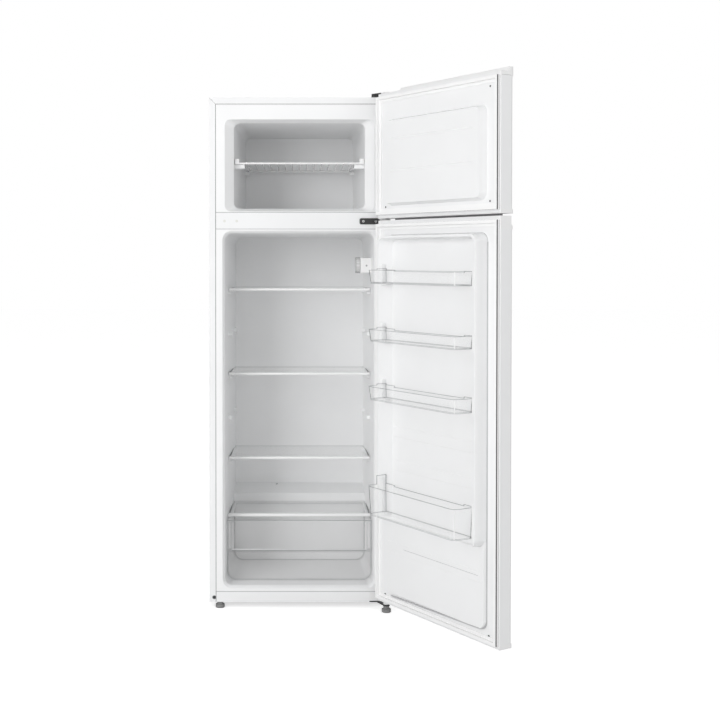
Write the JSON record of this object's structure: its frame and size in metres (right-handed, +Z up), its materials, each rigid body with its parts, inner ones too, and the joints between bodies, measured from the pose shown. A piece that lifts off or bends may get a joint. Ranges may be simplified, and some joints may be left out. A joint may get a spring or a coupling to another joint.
{
  "type": "top freezer refrigerator",
  "caption": "Slim free-standing two-door refrigerator with the freezer on top, doors open to the right, glass shelves, crisper drawer and door balconies.",
  "frame": {"origin": "on the floor under the middle of the cabinet's footprint, doors left out", "axes": "+Z up, the cabinet's open front faces -Y, the hinges are on the +X side"},
  "size_m": [0.832, 0.9955, 1.563],
  "materials": {
    "white_paint": "satin",
    "zinc_steel": "satin",
    "liner_white": "satin",
    "foam": "matte",
    "dark_steel": "satin",
    "black_paint": "satin",
    "mount_rubber": "matte",
    "gasket_rubber": "matte",
    "black_plastic": "matte",
    "grey_plastic": "matte",
    "copper": "satin",
    "evaporator_sheet": "satin",
    "shelf_glass": "polished",
    "shelf_trim": "gloss",
    "white_plastic": "satin",
    "nylon": "matte",
    "white_wire": "gloss",
    "clear_plastic": "gloss",
    "lamp_glass": "polished"
  },
  "bodies": {
    "cabinet": {"cabinet_shell": "white_paint", "mullion_rail": "white_paint", "bottom_rail": "white_paint", "bottom_hinge": "white_paint", "back_panel": "zinc_steel", "bottom_panel": "zinc_steel", "base_tray": "zinc_steel", "top_hinge": "zinc_steel", "freezer_liner": "liner_white", "fridge_liner": "liner_white", "cabinet_foam": "foam", "middle_hinge": "dark_steel", "compressor": "black_paint", "condenser": "black_paint", "compressor_mounts": "mount_rubber", "terminal_box": "black_plastic", "evaporation_tray": "grey_plastic", "drain_tube": "grey_plastic", "refrigerant_tubes": "copper", "filter_drier": "copper", "freezer_evaporator": "evaporator_sheet", "fridge_evaporator": "evaporator_sheet", "thermostat_housing": "white_plastic", "lamp_lens": "clear_plastic", "lamp_bulb": "lamp_glass"},
    "freezer_door": {"freezer_door_skin": "white_paint", "freezer_door_top_cap": "white_plastic", "freezer_door_bottom_cap": "white_plastic", "freezer_door_liner": "liner_white", "freezer_door_foam": "foam", "freezer_door_gasket": "gasket_rubber", "freezer_door_bushes": "nylon"},
    "fridge_door": {"fridge_door_skin": "white_paint", "fridge_door_top_cap": "white_plastic", "fridge_door_bottom_cap": "white_plastic", "fridge_door_liner": "liner_white", "fridge_door_foam": "foam", "fridge_door_gasket": "gasket_rubber", "fridge_door_bushes": "nylon"},
    "wire_shelf": {"wire_shelf": "white_wire", "wire_shelf_clips": "white_plastic"},
    "crisper_cover": {"crisper_cover_glass": "shelf_glass", "crisper_cover_trim": "shelf_trim"},
    "crisper_drawer": {"crisper_drawer": "clear_plastic"},
    "thermostat_knob": {"thermostat_knob": "white_plastic"},
    "upper_shelf": {"upper_shelf_glass": "shelf_glass", "upper_shelf_trim": "shelf_trim"},
    "middle_shelf": {"middle_shelf_glass": "shelf_glass", "middle_shelf_trim": "shelf_trim"},
    "lower_shelf": {"lower_shelf_glass": "shelf_glass", "lower_shelf_trim": "shelf_trim"},
    "upper_balcony": {"upper_balcony": "clear_plastic"},
    "middle_balcony": {"middle_balcony": "clear_plastic"},
    "lower_balcony": {"lower_balcony": "clear_plastic"},
    "bottle_balcony": {"bottle_balcony": "clear_plastic"},
    "left_foot": {"left_foot": "grey_plastic"},
    "right_foot": {"right_foot": "grey_plastic"},
    "left_roller": {"left_roller": "grey_plastic"},
    "right_roller": {"right_roller": "grey_plastic"}
  },
  "joints": [
    {"name": "freezer_door_hinge", "type": "hinge", "parent": "cabinet", "child": "freezer_door", "pos_m": [0.261, -0.281, 1.36], "axis": [0, 0, 1], "range_deg": [-121.8, 15]},
    {"name": "fridge_door_hinge", "type": "hinge", "parent": "cabinet", "child": "fridge_door", "pos_m": [0.261, -0.281, 0.6], "axis": [0, 0, 1], "range_deg": [-121.8, 15]},
    {"name": "wire_shelf_slide", "type": "slide", "parent": "cabinet", "child": "wire_shelf", "axis": [0, -1, 0], "range_m": [0, 0.2]},
    {"name": "upper_shelf_slide", "type": "slide", "parent": "cabinet", "child": "upper_shelf", "axis": [0, -1, 0], "range_m": [0, 0.2]},
    {"name": "middle_shelf_slide", "type": "slide", "parent": "cabinet", "child": "middle_shelf", "axis": [0, -1, 0], "range_m": [0, 0.2]},
    {"name": "lower_shelf_slide", "type": "slide", "parent": "cabinet", "child": "lower_shelf", "axis": [0, -1, 0], "range_m": [0, 0.2]},
    {"name": "crisper_cover_slide", "type": "slide", "parent": "cabinet", "child": "crisper_cover", "axis": [0, -1, 0], "range_m": [0, 0.18]},
    {"name": "crisper_drawer_slide", "type": "slide", "parent": "cabinet", "child": "crisper_drawer", "axis": [0, -1, 0], "range_m": [0, 0.18]},
    {"name": "upper_balcony_lift", "type": "slide", "parent": "fridge_door", "child": "upper_balcony", "axis": [0, 0, 1], "range_m": [0, 0.025]},
    {"name": "middle_balcony_lift", "type": "slide", "parent": "fridge_door", "child": "middle_balcony", "axis": [0, 0, 1], "range_m": [0, 0.025]},
    {"name": "lower_balcony_lift", "type": "slide", "parent": "fridge_door", "child": "lower_balcony", "axis": [0, 0, 1], "range_m": [0, 0.025]},
    {"name": "bottle_balcony_lift", "type": "slide", "parent": "fridge_door", "child": "bottle_balcony", "axis": [0, 0, 1], "range_m": [0, 0.025]},
    {"name": "thermostat_turn", "type": "hinge", "parent": "cabinet", "child": "thermostat_knob", "pos_m": [0.184, -0.091, 1.0395], "axis": [1, 0, 0], "range_deg": [0, 270]},
    {"name": "left_foot_turn", "type": "hinge", "parent": "cabinet", "child": "left_foot", "pos_m": [-0.241, -0.23, 0.01], "axis": [0, 0, 1], "continuous": true},
    {"name": "right_foot_turn", "type": "hinge", "parent": "cabinet", "child": "right_foot", "pos_m": [0.261, -0.281, 0.01], "axis": [0, 0, 1], "continuous": true},
    {"name": "left_roller_turn", "type": "hinge", "parent": "cabinet", "child": "left_roller", "pos_m": [-0.2275, 0.223, 0.015], "axis": [1, 0, 0], "continuous": true},
    {"name": "right_roller_turn", "type": "hinge", "parent": "cabinet", "child": "right_roller", "pos_m": [0.2275, 0.223, 0.015], "axis": [1, 0, 0], "continuous": true}
  ]
}
